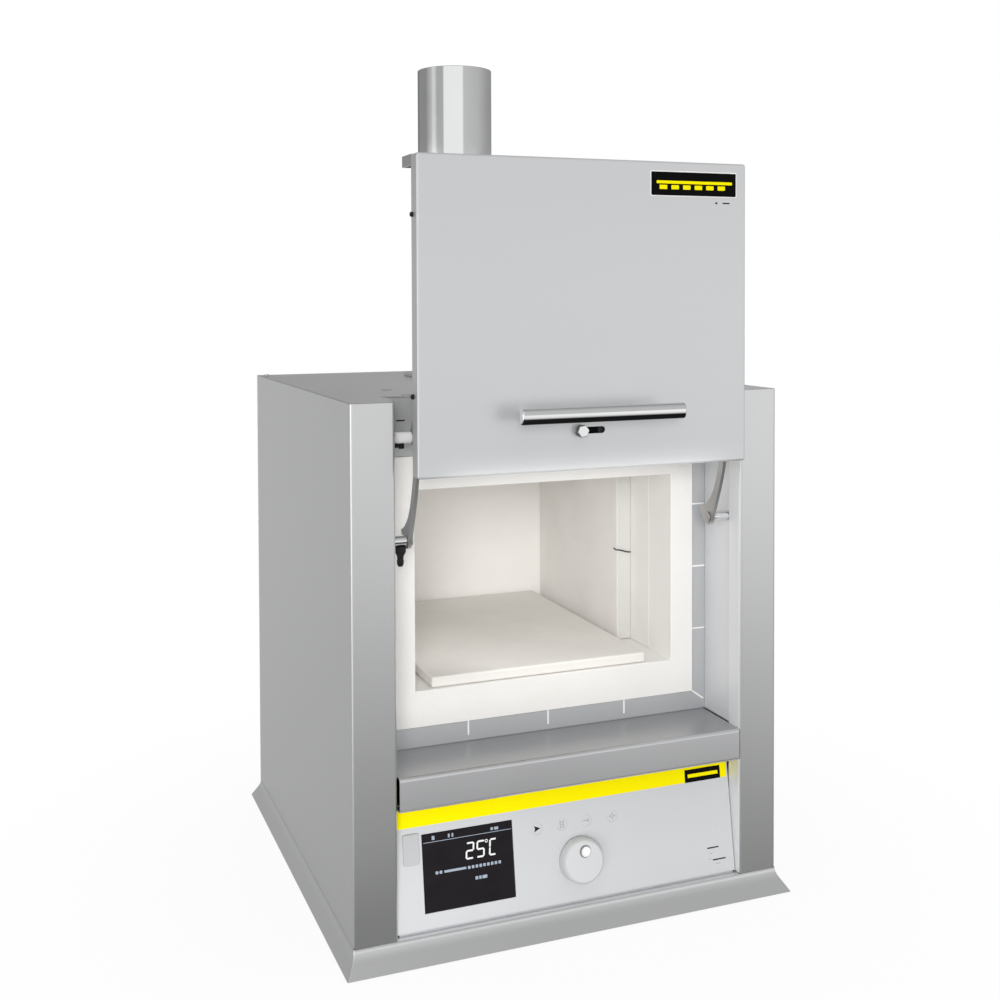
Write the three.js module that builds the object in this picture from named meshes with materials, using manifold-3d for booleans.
// Benchtop kiln with a lift door that swings up on two pairs of parallel arms.
// Millimetres, +Z up. X runs to the right, Y from the front to the back.
// The kiln's own frame has y = 0 at the front face of its posts; the exported group is moved
// so that the origin is at the middle of the footprint, on the table.
import * as THREE from "three";
import { mergeVertices } from "three/addons/utils/BufferGeometryUtils.js";
import Module from "manifold-3d";

const wasm = await Module();
wasm.setup();

// ---------------------------------------------------------------- driving dimensions
const WIDTH = 415; // over the side sheets
const DEPTH = 404; // post face to rear face
const HEIGHT = 480; // table to top panel
const SHEET = 1.5; // housing sheet thickness
const GAP = 0.3; // clearance between pieces that touch
const BEND = 3; // outside radius of a sheet bend

const SKIRT_LIFT = 2; // lower edge of the flared skirt above the table
const SKIRT_TOP = 21;
const SKIRT_FLARE = 9;
const SKIRT_FRONT_FLARE = 13.5;
const FOOT = { x: 165, frontY: 40, rearY: 364, padRadius: 11, radius: 14 };

const POST_WIDTH = 39.2;
const POST_RETURN = 20; // depth of the post's return flange
const RECESS_DEPTH = 65.2; // post face to the fibre collar's face
const SILL_Z = 159.8;
const APRON = { height: 30, lip: 14, leftGap: 1.9 };
const LINER = { inner: 169.5, outer: 171 }; // side walls of the recess, as distances from the middle
const TOP_OVERHANG = 5.5; // the top panel reaches over each side of the recess by this much
const VENT = { rows: [96, 396], pitch: 18, perSide: 4, halfWidth: 2, halfHeight: 20 };

const COLLAR = { halfWidth: 155.2, bottom: 178.6, top: 425, depth: 44.8 };
const MOUTH = { halfWidth: 131, bottom: 211.6, top: 394.4 };
const CHAMBER = { halfWidth: 131, back: 350 };
const LINING = { halfWidth: 190, bottom: 161, top: 450, back: 396 };
const HEATER = { thickness: 15.7, front: 149.3 };
const TILE = { left: -114.6, right: 104, front: 68, back: 346, thickness: 10 };
// Narrow slots let the frame plate expand round the collar.
const RELIEF = { reach: 13, halfWidth: 0.8, clearance: 0.4, xs: [-80, 0, 80], shares: [0.25, 0.5, 0.75] };

const SENSOR = { x: -70, z: 372, radius: 3, tip: 318, headHalf: 9 };
const FLUE = { y: 320, tubeRadius: 17, boreRadius: 12, roofHole: 36 };
const CHIMNEY = { radius: 41, wall: 1.5, top: 818, flangeRadius: 58, spigotHeight: 26 };

const PIVOT = { y: 25, lowerZ: 358, spacing: 89, spacer: 5, head: 1.2, headRadius: 5.2, nut: 5.4 };
const ARM = {
  length: 128.36, openDeg: 103.5, width: 8, thickness: 3.5, bow: 12, rootEye: 8.5, tipEye: 7.5,
};
const LOWER_ARM_X = 148.3; // inner face of the lower arms
const UPPER_ARM_X = 142.9; // inner face of the upper arms
const PIN_RADIUS = 3;
const PIN_CLEARANCE = 0.1;

const DOOR = { width: 314, height: 270, flange: 14.5, sheet: 1.2, front: -26.2, bottom: 417.5 };
const DOOR_HORN = { depth: 40, height: 9.5, width: 8 }; // box-shaped stop behind each upper corner
const PLUG = { halfWidth: 138.6, bottom: 9, top: 261, back: 64 };
const HANDLE = { length: 154, height: 13.6, depth: 9, standoff: 33.6, z: 51.6, postX: 58, postRadius: 4.5 };
const AIR_SLOT = { halfWidth: 14.5, halfHeight: 3, z: 34.6 };
const AIR_KNOB = { x: -9.4, stem: 4.8, radius: 5.6, length: 7 };
const AIRWAY_RADIUS = 5;

const PANEL = { y: 7.4, z: 21.7, tiltDeg: 8.53, halfWidth: 167.6, height: 107, thickness: 3, lowerGap: 0.6 };
const DISPLAY = { x0: -141, x1: -56.6, z0: 14.1, z1: 79.7 };
const USB = { x0: -158.7, x1: -144.3, z0: 56.1, z1: 82, rim: 1.5, flap: 1.5 };
const KEY_XS = [-32.6, -8, 16.4, 42.8];
const KEY = { z: 68.6, radius: 5, thickness: 3.2, sunk: 0.2 };
const DIAL = { x: 7, z: 36.6, radius: 20, depth: 12, gap: 1.4, shaft: 3, dimple: 5.6 };
const BOARD = { halfWidth: 150, y: 12, thickness: 1.6, z0: 6, z1: 96 };

const INLET = { x: 150, z: 66, halfWidth: 19, halfHeight: 30 };

const FRONT_PROUD = HANDLE.standoff - DOOR.front; // door handle in front of the posts
const REAR_PROUD = DEPTH + SKIRT_FLARE;
const ORIGIN_SHIFT_Y = (FRONT_PROUD - REAR_PROUD) / 2;

// ---------------------------------------------------------------- materials
function metal(color, roughness) {
  return new THREE.MeshStandardMaterial({ color, roughness, metalness: 0.85 });
}
function dull(color, roughness) {
  return new THREE.MeshStandardMaterial({ color, roughness, metalness: 0 });
}
const HOUSING_STEEL = metal(0xb4b6b6, 0.42);
const DOOR_STEEL = metal(0xc8cbcc, 0.4);
const POLISHED = metal(0xe6e8e8, 0.15);
const ARM_STEEL = metal(0x9a9b98, 0.35);
const FIBRE = dull(0xe9e5dd, 0.95);
const HEATER_CERAMIC = dull(0xe4ded2, 0.9);
const TILE_CERAMIC = dull(0xd5cbbb, 0.85);
const TUBE_CERAMIC = dull(0xe0d8c8, 0.7);
const FASCIA = dull(0xe2e3e5, 0.5);
const DIAL_PLASTIC = dull(0xdadbdd, 0.45);
const BLACK = dull(0x1c1b1c, 0.35);
const RUBBER = dull(0x222222, 0.9);
const BOARD_GREEN = dull(0x2c6b45, 0.6);

// ---------------------------------------------------------------- shapes and solids
function rectangle(a0, b0, a1, b1) {
  return polygon([[a0, b0], [a1, b0], [a1, b1], [a0, b1]]);
}

function polygon(points) {
  return new THREE.Shape(outline(points));
}

function outline(points) {
  return points.map(([a, b]) => new THREE.Vector2(a, b));
}

// Axes of the drawing plane and of the extrusion, as columns.
const PLANES = {
  XY: [[1, 0, 0], [0, 1, 0], [0, 0, 1]],
  YZ: [[0, 1, 0], [0, 0, 1], [1, 0, 0]],
  ZX: [[0, 0, 1], [1, 0, 0], [0, 1, 0]],
};

// A shape drawn in a plane and extruded from one level to another along the third axis.
function prism(shape, plane, from, to, curveSegments = 6) {
  const options = { depth: to - from, bevelEnabled: false, curveSegments };
  const geometry = new THREE.ExtrudeGeometry(shape, options);
  const columns = PLANES[plane].map((c) => new THREE.Vector3(...c));
  geometry.translate(0, 0, from);
  return geometry.applyMatrix4(new THREE.Matrix4().makeBasis(...columns));
}

function box(x0, x1, y0, y1, z0, z1) {
  const geometry = new THREE.BoxGeometry(x1 - x0, y1 - y0, z1 - z0);
  return geometry.translate((x0 + x1) / 2, (y0 + y1) / 2, (z0 + z1) / 2);
}

// A cylinder from one level to another along X, Y or Z, centred on two coordinates.
function rod(axis, radius, from, to, a, b, sides = 24) {
  const geometry = new THREE.CylinderGeometry(radius, radius, to - from, sides);
  const middle = (from + to) / 2;
  if (axis === "X") return geometry.rotateZ(-Math.PI / 2).translate(middle, a, b);
  if (axis === "Y") return geometry.translate(a, middle, b);
  return geometry.rotateX(Math.PI / 2).translate(a, b, middle);
}

// A box whose bottom face is spread outwards on all four sides.
function spreadBox(halfX, y0, y1, z0, z1) {
  const geometry = box(-halfX, halfX, y0, y1, z0, z1);
  const p = geometry.getAttribute("position");
  const middleY = (y0 + y1) / 2;
  for (let i = 0; i < p.count; i++) {
    if (p.getZ(i) > (z0 + z1) / 2) continue;
    p.setX(i, p.getX(i) + SKIRT_FLARE * Math.sign(p.getX(i)));
    p.setY(i, p.getY(i) + (p.getY(i) < middleY ? -SKIRT_FRONT_FLARE : SKIRT_FLARE));
  }
  return geometry;
}

function toSolid(geometry) {
  const bare = new THREE.BufferGeometry();
  const flat = geometry.index ? geometry.toNonIndexed() : geometry;
  bare.setAttribute("position", flat.getAttribute("position"));
  const merged = mergeVertices(bare, 1e-4);
  return new wasm.Manifold(
    new wasm.Mesh({
      numProp: 3,
      vertProperties: merged.getAttribute("position").array,
      triVerts: new Uint32Array(merged.index.array),
    }),
  );
}

function toGeometry(solid) {
  const mesh = solid.getMesh();
  const geometry = new THREE.BufferGeometry();
  geometry.setAttribute("position", new THREE.BufferAttribute(mesh.vertProperties, 3));
  geometry.setIndex(new THREE.BufferAttribute(mesh.triVerts, 1));
  geometry.computeVertexNormals();
  return geometry;
}

function join(...geometries) {
  return toGeometry(geometries.map(toSolid).reduce((a, b) => a.add(b)));
}

function cut(geometry, ...tools) {
  return toGeometry(tools.map(toSolid).reduce((a, b) => a.subtract(b), toSolid(geometry)));
}

function mirrorX(geometry) {
  const flipped = (geometry.index ? geometry.toNonIndexed() : geometry).clone();
  flipped.scale(-1, 1, 1);
  const p = flipped.getAttribute("position");
  const swap = new THREE.Vector3();
  const other = new THREE.Vector3();
  for (let i = 0; i < p.count; i += 3) {
    swap.fromBufferAttribute(p, i + 1);
    other.fromBufferAttribute(p, i + 2);
    p.setXYZ(i + 1, other.x, other.y, other.z);
    p.setXYZ(i + 2, swap.x, swap.y, swap.z);
  }
  const bare = new THREE.BufferGeometry().setAttribute("position", p);
  bare.computeVertexNormals();
  return bare;
}

// Corners of an open path rounded with arcs. A left turn gets leftRadius, a right turn rightRadius.
function roundedPath(points, leftRadius, rightRadius) {
  const path = [points[0]];
  for (let i = 1; i < points.length - 1; i++) {
    const corner = points[i];
    const into = corner.clone().sub(points[i - 1]).normalize();
    const out = points[i + 1].clone().sub(corner).normalize();
    const turn = Math.asin(THREE.MathUtils.clamp(into.cross(out), -1, 1));
    const side = Math.sign(turn);
    const radius = side > 0 ? leftRadius : rightRadius;
    const reach = radius * Math.tan(Math.abs(turn) / 2);
    const centre = corner.clone().addScaledVector(into, -reach);
    centre.add(new THREE.Vector2(-into.y, into.x).multiplyScalar(side * radius));
    const start = corner.clone().addScaledVector(into, -reach);
    const steps = 4;
    for (let k = 0; k <= steps; k++) {
      path.push(start.clone().rotateAround(centre, (turn * k) / steps));
    }
  }
  path.push(points[points.length - 1]);
  return path;
}

// The section of a bent sheet: the path is one surface, and the sheet lies to its left.
function bentSheet(points, thickness, bend) {
  const near = outline(points);
  const normals = near.slice(1).map((p, i) => {
    const d = p.clone().sub(near[i]).normalize();
    return new THREE.Vector2(-d.y, d.x);
  });
  const far = near.map((p, i) => {
    const before = normals[Math.max(i - 1, 0)];
    const after = normals[Math.min(i, normals.length - 1)];
    const sum = before.clone().add(after);
    return p.clone().addScaledVector(sum, thickness / (1 + before.dot(after)));
  });
  const inner = bend - thickness;
  const section = roundedPath(near, bend, inner);
  section.push(...roundedPath(far, inner, bend).reverse());
  return new THREE.Shape(section);
}

const kiln = new THREE.Group();
kiln.position.y = ORIGIN_SHIFT_Y;

function add(parent, name, geometry, material) {
  const mesh = new THREE.Mesh(geometry, material);
  mesh.name = name;
  parent.add(mesh);
  return mesh;
}

function addPair(parent, name, rightGeometry, material) {
  add(parent, "left_" + name, mirrorX(rightGeometry), material);
  add(parent, "right_" + name, rightGeometry, material);
}

// ---------------------------------------------------------------- housing
const HALF = WIDTH / 2;
const POST_INNER = HALF - POST_WIDTH;
const TOP_UNDERSIDE = HEIGHT - SHEET;
const PLATE_Y = RECESS_DEPTH + 0.8; // the frame plate lies just behind the collar's face

function addBase() {
  const outside = spreadBox(HALF, 0, DEPTH, SKIRT_LIFT, SKIRT_TOP);
  const inside = spreadBox(
    HALF - SHEET, SHEET, DEPTH - SHEET, SKIRT_LIFT - SHEET, SKIRT_TOP - SHEET,
  );
  add(kiln, "base_tray", cut(outside, inside), HOUSING_STEEL);
  const footTop = SKIRT_TOP - SHEET - GAP;
  const profile = outline([
    [0, 0], [FOOT.padRadius, 0], [FOOT.padRadius + 2, 2], [FOOT.radius, footTop - 3],
    [FOOT.radius, footTop], [0, footTop],
  ]);
  for (const [side, x] of [["left", -FOOT.x], ["right", FOOT.x]]) {
    for (const [end, y] of [["front", FOOT.frontY], ["rear", FOOT.rearY]]) {
      const foot = new THREE.LatheGeometry(profile, 20).rotateX(Math.PI / 2);
      add(kiln, end + "_" + side + "_foot", foot.translate(x, y, 0), RUBBER);
    }
  }
}

function addShell() {
  const bottom = SKIRT_TOP + GAP;
  const rear = DEPTH - SHEET - GAP;
  // Side sheet, post face and post return are one bent sheet, drawn in plan for the right side.
  const side = bentSheet(
    [[POST_INNER, POST_RETURN], [POST_INNER, 0], [HALF, 0], [HALF, rear]], SHEET, BEND,
  );
  addPair(kiln, "side_shell", prism(side, "XY", bottom, HEIGHT), HOUSING_STEEL);

  const edge = HALF - SHEET - GAP;
  const lip = POST_INNER - TOP_OVERHANG;
  const front = BEND + GAP;
  const beside = POST_INNER + SHEET + GAP;
  const behind = POST_RETURN + GAP;
  const top = polygon([
    [-edge, front], [-beside, front], [-beside, behind], [-lip, behind], [-lip, PLATE_Y],
    [lip, PLATE_Y], [lip, behind], [beside, behind], [beside, front], [edge, front],
    [edge, rear], [-edge, rear],
  ]);
  top.holes.push(new THREE.Path().absarc(0, FLUE.y, FLUE.roofHole, 0, 2 * Math.PI, true));
  add(kiln, "top_panel", prism(top, "XY", TOP_UNDERSIDE, HEIGHT, 16), HOUSING_STEEL);

  // Rear panel with two rows of vent slots and the window for the power inlet.
  const y0 = DEPTH - SHEET;
  const windowX = INLET.halfWidth - 4;
  const windowZ = INLET.halfHeight - 4;
  const hole = (x, z, dx, dz) => box(x - dx, x + dx, y0 - 1, DEPTH + 1, z - dz, z + dz);
  const windows = [hole(INLET.x, INLET.z, windowX, windowZ)];
  for (const z of VENT.rows) {
    for (let i = -VENT.perSide; i <= VENT.perSide; i++) {
      windows.push(hole(i * VENT.pitch, z, VENT.halfWidth, VENT.halfHeight));
    }
  }
  const back = box(-HALF, HALF, y0, DEPTH, bottom, HEIGHT);
  add(kiln, "rear_panel", cut(back, ...windows), HOUSING_STEEL);
}

// The sheet around the fibre collar, with narrow expansion slots cut outwards from its opening.
function addFramePlate() {
  const y0 = PLATE_Y;
  const y1 = PLATE_Y + SHEET;
  const half = COLLAR.halfWidth + RELIEF.clearance;
  const z0 = COLLAR.bottom - RELIEF.clearance;
  const z1 = COLLAR.top + RELIEF.clearance;
  const reach = RELIEF.reach;
  const slot = RELIEF.halfWidth;
  const through = (xa, xb, za, zb) => box(xa, xb, y0 - 1, y1 + 1, za, zb);
  const tools = [through(-half, half, z0, z1)];
  for (const share of RELIEF.shares) {
    const z = z0 + (z1 - z0) * share;
    tools.push(through(-half - reach, half + reach, z - slot, z + slot));
  }
  for (const x of RELIEF.xs) tools.push(through(x - slot, x + slot, z0 - reach, z1 + reach));
  const slope = THREE.MathUtils.degToRad(36); // of the corner slots
  for (const [sx, z, sz] of [[-1, z0, -1], [1, z0, -1], [-1, z1, 1], [1, z1, 1]]) {
    const diagonal = through(-2, reach + 3, -slot, slot);
    diagonal.rotateY(Math.atan2(-sz * Math.sin(slope), sx * Math.cos(slope)));
    tools.push(diagonal.translate(sx * half, 0, z));
  }
  const bottom = SILL_Z + GAP;
  const top = TOP_UNDERSIDE - GAP;
  const plate = box(-LINER.outer, LINER.outer, y0, y1, bottom, top);
  add(kiln, "front_frame_plate", cut(plate, ...tools), HOUSING_STEEL);

  const liner = box(LINER.inner, LINER.outer, POST_RETURN + GAP, y0 - GAP, bottom, top);
  const holes = [0, PIVOT.spacing].map((up) =>
    rod("X", PIN_RADIUS + 0.4, LINER.inner - 1, LINER.outer + 1, PIVOT.y, PIVOT.lowerZ + up),
  );
  addPair(kiln, "recess_liner", cut(liner, ...holes), HOUSING_STEEL);

  const apronBottom = SILL_Z - APRON.height;
  const sill = bentSheet(
    [[y0 - GAP, SILL_Z], [0, SILL_Z], [0, apronBottom], [APRON.lip, apronBottom]], SHEET, BEND,
  );
  const sillGeometry = prism(sill, "YZ", APRON.leftGap - POST_INNER, POST_INNER - GAP);
  add(kiln, "sill_apron", sillGeometry, HOUSING_STEEL);
}

// ---------------------------------------------------------------- lining and heating
function addLining() {
  const y0 = RECESS_DEPTH;
  const y1 = y0 + COLLAR.depth;
  const wide = COLLAR.halfWidth;
  const mouth = box(-MOUTH.halfWidth, MOUTH.halfWidth, y0 - 1, y1 + 1, MOUTH.bottom, MOUTH.top);
  const block = box(-wide, wide, y0, y1, COLLAR.bottom, COLLAR.top);
  add(kiln, "insulation_collar", cut(block, mouth), FIBRE);

  const start = PLATE_Y + SHEET + GAP; // the boards sit behind the frame plate
  const step = y1 + GAP;
  const back = CHAMBER.back + GAP;
  const out = LINING.halfWidth;
  const floor = polygon([
    [start, LINING.bottom], [LINING.back, LINING.bottom], [LINING.back, MOUTH.bottom - GAP],
    [step, MOUTH.bottom - GAP], [step, COLLAR.bottom - GAP], [start, COLLAR.bottom - GAP],
  ]);
  add(kiln, "insulation_floor", prism(floor, "YZ", -out, out), FIBRE);
  const roof = polygon([
    [start, LINING.top], [start, COLLAR.top + GAP], [step, COLLAR.top + GAP],
    [step, MOUTH.top + GAP], [LINING.back, MOUTH.top + GAP], [LINING.back, LINING.top],
  ]);
  const flue = rod("Z", FLUE.tubeRadius + GAP, MOUTH.top - 5, LINING.top + 5, 0, FLUE.y);
  add(kiln, "insulation_roof", cut(prism(roof, "YZ", -out, out), flue), FIBRE);
  const wall = polygon([
    [wide + GAP, start], [out, start], [out, back - GAP], [CHAMBER.halfWidth, back - GAP],
    [CHAMBER.halfWidth, step], [wide + GAP, step],
  ]);
  addPair(kiln, "insulation_wall", prism(wall, "XY", MOUTH.bottom, MOUTH.top), FIBRE);
  const rear = box(-out, out, back, LINING.back, MOUTH.bottom, MOUTH.top);
  const bore = rod("Y", SENSOR.radius + GAP, back - 5, LINING.back + 5, SENSOR.x, SENSOR.z);
  add(kiln, "insulation_back", cut(rear, bore), FIBRE);

  const inner = CHAMBER.halfWidth - GAP;
  const low = MOUTH.bottom + GAP;
  const high = MOUTH.top - GAP;
  const rearEnd = CHAMBER.back - GAP;
  const heater = box(inner - HEATER.thickness, inner, HEATER.front, rearEnd, low, high);
  addPair(kiln, "heater_plate", heater, HEATER_CERAMIC);
  const tileTop = MOUTH.bottom + TILE.thickness;
  const tile = box(TILE.left, TILE.right, TILE.front, TILE.back, low, tileTop);
  add(kiln, "chamber_floor_plate", tile, TILE_CERAMIC);

  const { x, z, headHalf: h } = SENSOR;
  const sheath = rod("Y", SENSOR.radius, SENSOR.tip, LINING.back + 2, x, z, 16);
  const head = box(x - h, x + h, LINING.back + 1, LINING.back + 5, z - h, z + h);
  add(kiln, "thermocouple", join(sheath, head), TUBE_CERAMIC);
}

function ring(outer, inner, z0, z1, sides = 32) {
  const profile = outline([[inner, z0], [outer, z0], [outer, z1], [inner, z1], [inner, z0]]);
  return new THREE.LatheGeometry(profile, sides).rotateX(Math.PI / 2).translate(0, FLUE.y, 0);
}

function addFlue() {
  const tube = ring(FLUE.tubeRadius, FLUE.boreRadius, MOUTH.top + 1, HEIGHT + 20, 24);
  add(kiln, "exhaust_tube", tube, TUBE_CERAMIC);
  const inner = CHIMNEY.radius - CHIMNEY.wall;
  const hole = FLUE.roofHole - 5;
  const z = HEIGHT + GAP;
  const z1 = z + 2; // top of the flange's plate
  const z2 = z + CHIMNEY.spigotHeight;
  const spigot = outline([
    [hole, z], [CHIMNEY.flangeRadius, z], [CHIMNEY.flangeRadius, z1], [inner - GAP, z1],
    [inner - GAP, z2], [inner - 2, z2], [inner - 2, z1], [hole, z1], [hole, z],
  ]);
  const flange = new THREE.LatheGeometry(spigot, 32).rotateX(Math.PI / 2).translate(0, FLUE.y, 0);
  add(kiln, "chimney_flange", flange, HOUSING_STEEL);
  add(kiln, "chimney_tube", ring(CHIMNEY.radius, inner, z1 + GAP, CHIMNEY.top), POLISHED);
}

// ---------------------------------------------------------------- lift linkage
// A curved flat bar in the plane x = const, from the housing pivot to the door pivot.
function armOutline() {
  const open = THREE.MathUtils.degToRad(ARM.openDeg);
  const tip = new THREE.Vector2(Math.cos(open), Math.sin(open)).multiplyScalar(ARM.length);
  const along = tip.clone().normalize();
  const front = new THREE.Vector2(-along.y, along.x);
  const steps = 10;
  const edges = [[], []];
  for (let i = 0; i <= steps; i++) {
    const t = i / steps;
    const middle = along.clone().multiplyScalar(ARM.length * t);
    middle.addScaledVector(front, ARM.bow * Math.sin(Math.PI * t) * (1 - 0.35 * t));
    const half = ARM.width / 2;
    edges[0].push(middle.clone().addScaledVector(front, half));
    edges[1].push(middle.clone().addScaledVector(front, -half));
  }
  return { shape: new THREE.Shape([...edges[1], ...edges[0].reverse()]), tip };
}

function armGeometry(x0, x1, pivotZ, lobe) {
  const { shape, tip } = armOutline();
  const place = (g) => g.translate(0, PIVOT.y, pivotZ);
  const pieces = [
    place(prism(shape, "YZ", x0, x1)),
    place(rod("X", ARM.rootEye, x0, x1, 0, 0)),
    place(rod("X", ARM.tipEye, x0, x1, tip.x, tip.y)),
  ];
  if (lobe) pieces.push(place(rod("X", 6, x0, x1, 11, 8))); // the cam that works the door switch
  const hole = PIN_RADIUS + PIN_CLEARANCE;
  return cut(
    join(...pieces),
    place(rod("X", hole, x0 - 1, x1 + 1, 0, 0)),
    place(rod("X", hole, x0 - 1, x1 + 1, tip.x, tip.y)),
  );
}

// A stepped stud: bolted through the liner, a spacer, then the pin that carries the arm and a head.
function pivotGeometry(armX, pivotZ) {
  const armOuter = armX + ARM.thickness;
  const headEnd = armX - GAP;
  const nutStart = LINER.outer + GAP;
  return join(
    rod("X", PIN_RADIUS, headEnd - 0.5, nutStart + 9, PIVOT.y, pivotZ),
    rod("X", PIVOT.spacer, armOuter + GAP, LINER.inner - GAP, PIVOT.y, pivotZ),
    rod("X", PIVOT.headRadius, headEnd - PIVOT.head, headEnd, PIVOT.y, pivotZ, 16),
    rod("X", PIVOT.nut, nutStart, nutStart + 4.2, PIVOT.y, pivotZ, 6),
  );
}

function addLinkage() {
  const upperZ = PIVOT.lowerZ + PIVOT.spacing;
  addPair(kiln, "lower_pivot", pivotGeometry(LOWER_ARM_X, PIVOT.lowerZ), ARM_STEEL);
  addPair(kiln, "upper_pivot", pivotGeometry(UPPER_ARM_X, upperZ), ARM_STEEL);
  const lower = armGeometry(LOWER_ARM_X, LOWER_ARM_X + ARM.thickness, PIVOT.lowerZ, true);
  const upper = armGeometry(UPPER_ARM_X, UPPER_ARM_X + ARM.thickness, upperZ, false);
  addPair(kiln, "lower_arm", lower, ARM_STEEL);
  addPair(kiln, "upper_arm", upper, ARM_STEEL);
  // The switch that the left lower pivot works stands behind the left liner.
  add(kiln, "door_switch", box(-186, -176, 30, 52, 320, 342), BLACK);
}

// ---------------------------------------------------------------- door
// Door coordinates: x from the middle, y back from its face, z up from its lower edge.
const TRAY_FRONT = DOOR.flange + GAP;
const TRAY_HALF = PLUG.halfWidth + 1.5;

function addDoor() {
  const door = new THREE.Group();
  door.position.set(0, DOOR.front, DOOR.bottom);
  kiln.add(door);
  addDoorPanel(door);
  addDoorTray(door);
  addHandle(door);
  addAirInlet(door);
  addDoorBrackets(door);
}

function addDoorPanel(door) {
  const half = DOOR.width / 2;
  const t = DOOR.sheet;
  const pan = box(-half, half, 0, DOOR.flange, 0, DOOR.height);
  const hollow = box(-half + t, half - t, t, DOOR.flange + 1, t, DOOR.height - t);
  const { halfWidth, halfHeight, z } = AIR_SLOT;
  const slot = box(-halfWidth, halfWidth, -1, 3, z - halfHeight, z + halfHeight);
  const { depth, height, width } = DOOR_HORN;
  const start = DOOR.flange - 2;
  const low = DOOR.height - height;
  const horn = [
    box(half - t, half, start, depth, low, DOOR.height),
    box(half - width, half, start, depth, DOOR.height - t, DOOR.height),
    box(half - width, half, depth - t, depth, low, DOOR.height),
  ];
  const horns = [...horn, ...horn.map(mirrorX)];
  add(door, "door_panel", join(cut(pan, hollow, slot), ...horns), DOOR_STEEL);
}

// The tray that holds the fibre block, and the block.
function addDoorTray(door) {
  const t = DOOR.sheet;
  const half = TRAY_HALF;
  const lip = PLUG.back - 6;
  const outer = box(-half, half, TRAY_FRONT, lip, PLUG.bottom - 1.5, PLUG.top + 1.5);
  const inner = box(-half + t, half - t, TRAY_FRONT + t, PLUG.back, PLUG.bottom, PLUG.top);
  const airway = rod("Y", AIRWAY_RADIUS + 1, 10, 20, 0, AIR_SLOT.z);
  add(door, "door_inner_frame", cut(outer, inner, airway), DOOR_STEEL);

  const side = half - t - GAP;
  const front = TRAY_FRONT + t + GAP;
  const block = box(-side, side, front, PLUG.back, PLUG.bottom + GAP, PLUG.top - GAP);
  const bore = rod("Y", AIRWAY_RADIUS, 10, PLUG.back + 1, 0, AIR_SLOT.z);
  add(door, "door_insulation", cut(block, bore), FIBRE);
}

function addHandle(door) {
  const middle = -HANDLE.standoff + HANDLE.depth / 2;
  const section = new THREE.Shape();
  section.absellipse(0, 0, HANDLE.depth / 2, HANDLE.height / 2, 0, 2 * Math.PI);
  const grip = prism(section, "YZ", -HANDLE.length / 2, HANDLE.length / 2, 12);
  add(door, "handle_bar", grip.translate(0, middle, HANDLE.z), POLISHED);
  const postEnd = middle + HANDLE.depth / 2 + GAP;
  const post = rod("Y", HANDLE.postRadius, postEnd, -GAP, HANDLE.postX, HANDLE.z, 20);
  addPair(door, "handle_post", post, POLISHED);
}

// Slotted air inlet: the slider's plate runs in a guide behind the panel, its knob in front.
function addAirInlet(door) {
  const z = AIR_SLOT.z;
  const plateFront = DOOR.sheet + GAP;
  const { x, stem, radius, length } = AIR_KNOB;
  const slider = join(
    box(x - 17, x + 18, plateFront, plateFront + 1.5, z - 5.5, z + 5.5),
    rod("Y", stem / 2, -2, plateFront + 1, x, z, 16),
    box(x - stem, x + stem, -0.6, plateFront + 1, z - 2.6, z + 2.6),
    rod("Y", radius, -length, -0.6, x, z, 6),
  );
  // The slider's own hole meets the airway at the end of its travel.
  const valve = rod("Y", AIRWAY_RADIUS - 1, 0, 6, 2 * x, z, 16);
  add(door, "air_slider", cut(slider, valve), POLISHED);
  const guide = box(-32, 34, plateFront, 6, z - 9, z + 9);
  const channel = box(-28, 29, DOOR.sheet, plateFront + 1.8, z - 6, z + 6);
  const airway = rod("Y", AIRWAY_RADIUS, 0, 8, 0, z);
  add(door, "air_guide", cut(guide, channel, airway), BLACK);
}

// Brackets between the fibre tray and the arms, each with the two door pins.
function addDoorBrackets(door) {
  const open = THREE.MathUtils.degToRad(ARM.openDeg);
  const pinY = PIVOT.y + ARM.length * Math.cos(open) - DOOR.front;
  const lowZ = PIVOT.lowerZ + ARM.length * Math.sin(open) - DOOR.bottom;
  const highZ = lowZ + PIVOT.spacing;
  const plateX = TRAY_HALF + GAP;
  const root = plateX + 0.5;
  const bracket = join(
    box(plateX, plateX + 1.6, TRAY_FRONT + 1, 40, lowZ - 14, highZ + 14),
    rod("X", PIN_RADIUS, root, LOWER_ARM_X + ARM.thickness + 1.2, pinY, lowZ),
    rod("X", PIN_RADIUS + 1.6, root, LOWER_ARM_X - GAP, pinY, lowZ),
    rod("X", PIN_RADIUS, root, UPPER_ARM_X + ARM.thickness + 1.2, pinY, highZ),
  );
  addPair(door, "door_bracket", bracket, ARM_STEEL);
}

// ---------------------------------------------------------------- controller
// Panel coordinates: x from the middle, y back from the fascia's face, z up along its slope.
function addController() {
  const panel = new THREE.Group();
  panel.position.set(0, PANEL.y, PANEL.z);
  panel.rotation.x = -THREE.MathUtils.degToRad(PANEL.tiltDeg);
  kiln.add(panel);
  addFascia(panel);
  addDisplayAndBoard(panel);
  addKeysAndFlap(panel);
  addJogDial(panel);
}

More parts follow.
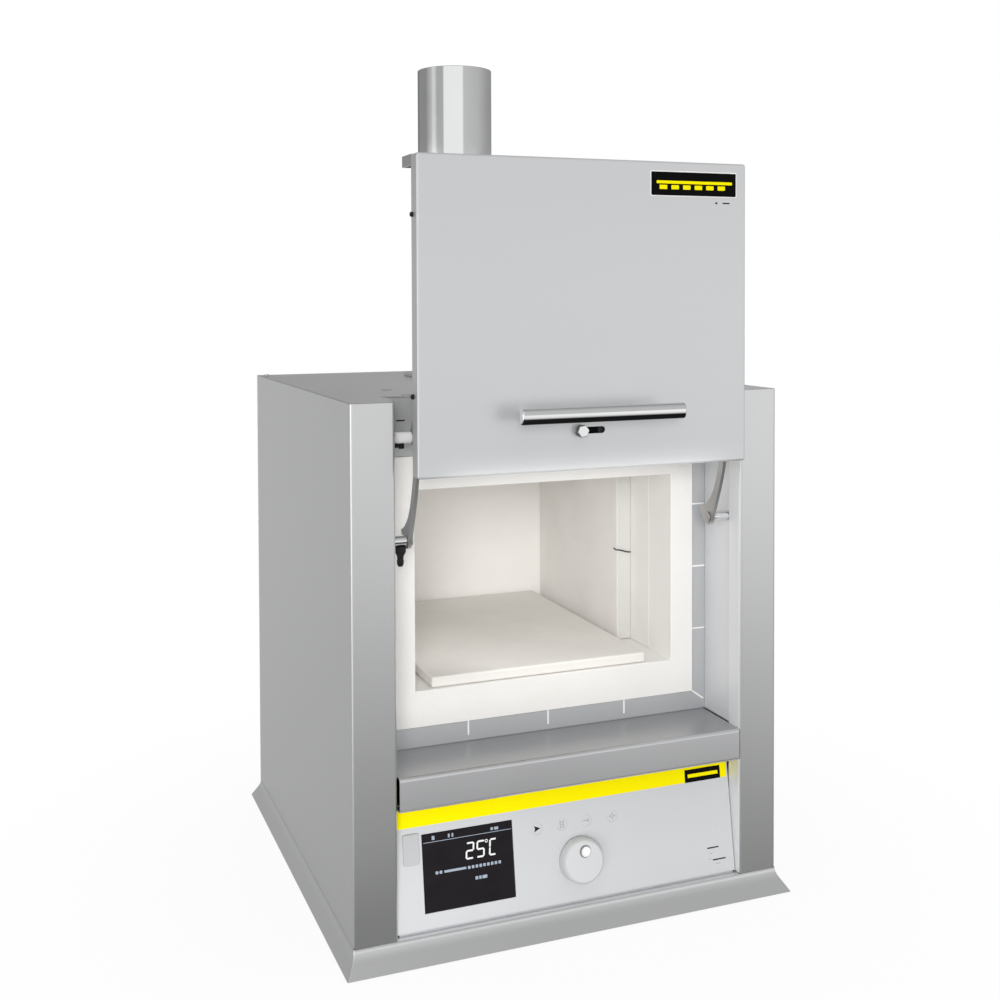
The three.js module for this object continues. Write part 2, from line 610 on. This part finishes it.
function addFascia(panel) {
  const fascia = rectangle(PANEL.lowerGap, -PANEL.halfWidth, PANEL.height, PANEL.halfWidth);
  const round = (x, z, radius) => new THREE.Path().absarc(z, x, radius, 0, 2 * Math.PI, true);
  const rim = 0.4; // round the display's window
  fascia.holes.push(
    rectangle(DISPLAY.z0 - rim, DISPLAY.x0 - rim, DISPLAY.z1 + rim, DISPLAY.x1 + rim),
    rectangle(USB.z0 + USB.rim, USB.x0 + USB.rim, USB.z1 - USB.rim, USB.x1 - USB.rim),
    round(DIAL.x, DIAL.z, DIAL.shaft + 1),
    ...KEY_XS.map((x) => round(x, KEY.z, KEY.radius + GAP)),
  );
  add(panel, "controller_fascia", prism(fascia, "ZX", 0, PANEL.thickness, 8), FASCIA);
}

function addDisplayAndBoard(panel) {
  const { x0, x1, z0, z1 } = DISPLAY;
  const screen = box(x0, x1, 0.3, 4, z0, z1);
  const module = box(x0 - 3, x1 + 3, PANEL.thickness + GAP, 9, z0 - 3, z1 + 3);
  add(panel, "display", join(screen, module), BLACK);
  const shell = USB.rim + 1;
  const port = USB.rim + 2.5;
  const socket = box(USB.x0 + shell, USB.x1 - shell, 0.6, 11, USB.z0 + 5, USB.z1 - 5);
  const opening = box(USB.x0 + port, USB.x1 - port, -1, 9, USB.z0 + 6.5, USB.z1 - 6.5);
  add(panel, "usb_socket", cut(socket, opening), POLISHED);
  const { halfWidth, y, thickness } = BOARD;
  const board = box(-halfWidth, halfWidth, y, y + thickness, BOARD.z0, BOARD.z1);
  add(panel, "control_board", board, BOARD_GREEN);
}

function addKeysAndFlap(panel) {
  for (const [i, x] of KEY_XS.entries()) {
    const key = rod("Y", KEY.radius, KEY.sunk, KEY.sunk + KEY.thickness, x, KEY.z, 20);
    add(panel, "key_" + (i + 1), key, FASCIA);
  }
  const flap = box(USB.x0, USB.x1, -GAP - USB.flap, -GAP, USB.z0, USB.z1);
  add(panel, "usb_flap", flap, FASCIA);
}

function addJogDial(panel) {
  const { x, z, radius, depth, gap, shaft } = DIAL;
  const stem = rod("Y", shaft, -8, 8, x, z, 16);
  const body = rod("Y", 6.5, PANEL.thickness + GAP, BOARD.y - 0.5, x, z, 12);
  add(panel, "encoder_shaft", join(stem, body), ARM_STEEL);
  const chamfer = 3;
  const profile = outline([
    [0, 0], [radius, 0], [radius, depth - chamfer], [radius - chamfer, depth], [0, depth],
  ]);
  // Lathed about its own axis, then turned so that its face is forward.
  const disc = new THREE.LatheGeometry(profile, 36).rotateX(Math.PI);
  const knob = disc.translate(x, -gap, z);
  const front = -gap - depth;
  const bore = rod("Y", shaft + PIN_CLEARANCE, -8 - gap, 0, x, z, 16);
  const dimple = rod("Y", DIAL.dimple, front - 1, front + 1.6, x + 1, z + radius / 2, 20);
  add(panel, "jog_dial", cut(knob, bore, dimple), DIAL_PLASTIC);
}

// ---------------------------------------------------------------- electrical parts
function addElectrical() {
  const floor = SKIRT_TOP + 3;
  add(kiln, "power_relay", box(-120, -75, 120, 190, floor, 100), BLACK);
  add(kiln, "terminal_block", box(40, 120, 150, 175, floor, 60), DIAL_PLASTIC);

  const { x, z, halfWidth, halfHeight } = INLET;
  const shell = 5; // the inlet's body is this much smaller than its flange on each side
  const flange = box(
    x - halfWidth, x + halfWidth, DEPTH + GAP, DEPTH + 3, z - halfHeight, z + halfHeight,
  );
  const body = box(
    x - halfWidth + shell, x + halfWidth - shell, DEPTH - 30, DEPTH + 1,
    z - halfHeight + shell, z + halfHeight - shell,
  );
  const socket = box(x - 11, x + 11, DEPTH - 14, DEPTH + 4, z - 20, z - 1);
  const pin = 1.2; // half the width of a contact
  const contacts = [[-6, -14], [6, -14], [0, -7]].map(([dx, dz]) =>
    box(x + dx - pin, x + dx + pin, DEPTH - 16, DEPTH - 2, z + dz - pin, z + dz + pin),
  );
  const window = box(x - 7, x + 7, DEPTH - 9, DEPTH + 4, z + 3, z + 24);
  const hollowed = cut(join(flange, body), socket, window);
  add(kiln, "power_inlet", join(hollowed, ...contacts), BLACK);
  const profile = polygon([[-4, -9], [3.2, -9.5], [3.2, 0], [4.6, 9.5], [-4, 9]]);
  const rocker = prism(profile, "YZ", x - 6.6, x + 6.6);
  add(kiln, "power_rocker", rocker.translate(0, DEPTH, z + 13.5), BLACK);
}

addBase();
addShell();
addFramePlate();
addLining();
addFlue();
addLinkage();
addDoor();
addController();
addElectrical();

export default kiln;
